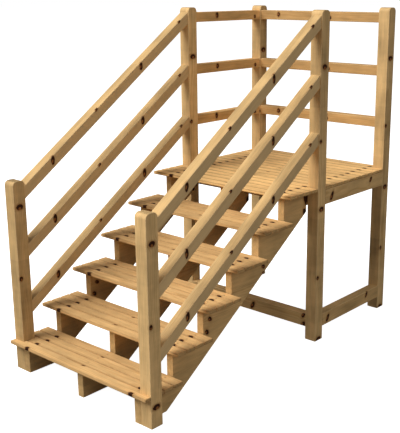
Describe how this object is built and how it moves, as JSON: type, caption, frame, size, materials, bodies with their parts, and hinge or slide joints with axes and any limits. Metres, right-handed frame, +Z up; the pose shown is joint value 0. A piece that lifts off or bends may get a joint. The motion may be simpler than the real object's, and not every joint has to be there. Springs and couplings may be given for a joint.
{
  "type": "mounting block",
  "caption": "Timber mounting block: open-tread stair with side handrails rising to a railed slatted platform whose one side is open to the horse.",
  "frame": {"origin": "on the ground, in the middle of the whole block's plan", "axes": "+X along the treads towards the platform's open side, +Y up the stair towards the platform, +Z up"},
  "size_m": [1.05, 2.121, 1.89],
  "materials": {
    "post_pine": "planed knotty pine, clear matt oil",
    "rail_pine": "planed knotty pine, clear matt oil",
    "slat_pine": "planed knotty pine, clear matt oil",
    "stringer_pine": "planed knotty pine, clear matt oil",
    "frame_pine": "planed knotty pine, clear matt oil",
    "screw_zinc": "yellow passivated zinc"
  },
  "bodies": {
    "root": {"deck_joist_back": "frame_pine", "deck_joist_front": "frame_pine", "deck_joist_middle": "frame_pine", "deck_rim_left": "frame_pine", "deck_rim_right": "frame_pine", "deck_slat_01": "slat_pine", "deck_slat_02": "slat_pine", "deck_slat_03": "slat_pine", "deck_slat_04": "slat_pine", "deck_slat_05": "slat_pine", "deck_slat_06": "slat_pine", "deck_slat_07": "slat_pine", "deck_slat_08": "slat_pine", "deck_slat_09": "slat_pine", "deck_slat_10": "slat_pine", "deck_slat_11": "slat_pine", "deck_slat_12": "slat_pine", "deck_slat_13": "slat_pine", "deck_slat_14": "slat_pine", "deck_slat_15": "slat_pine", "deck_slat_16": "slat_pine", "newel_left": "post_pine", "newel_right": "post_pine", "newel_screws_left": "screw_zinc", "newel_screws_right": "screw_zinc", "platform_post_back_left": "post_pine", "platform_post_back_right": "post_pine", "platform_post_front_left": "post_pine", "platform_post_front_right": "post_pine", "platform_rail_back_lower": "rail_pine", "platform_rail_back_middle": "rail_pine", "platform_rail_back_top": "rail_pine", "platform_rail_left_lower": "rail_pine", "platform_rail_left_middle": "rail_pine", "platform_rail_left_top": "rail_pine", "slat_screws": "screw_zinc", "stair_rail_left_lower": "rail_pine", "stair_rail_left_middle": "rail_pine", "stair_rail_left_top": "rail_pine", "stair_rail_right_lower": "rail_pine", "stair_rail_right_middle": "rail_pine", "stair_rail_right_top": "rail_pine", "stretcher_front": "frame_pine", "stretcher_right": "frame_pine", "stringer_left": "stringer_pine", "stringer_middle": "stringer_pine", "stringer_right": "stringer_pine", "stringer_screws": "screw_zinc", "tread_1": "slat_pine", "tread_2": "slat_pine", "tread_3": "slat_pine", "tread_4": "slat_pine", "tread_5": "slat_pine"}
  },
  "joints": []
}
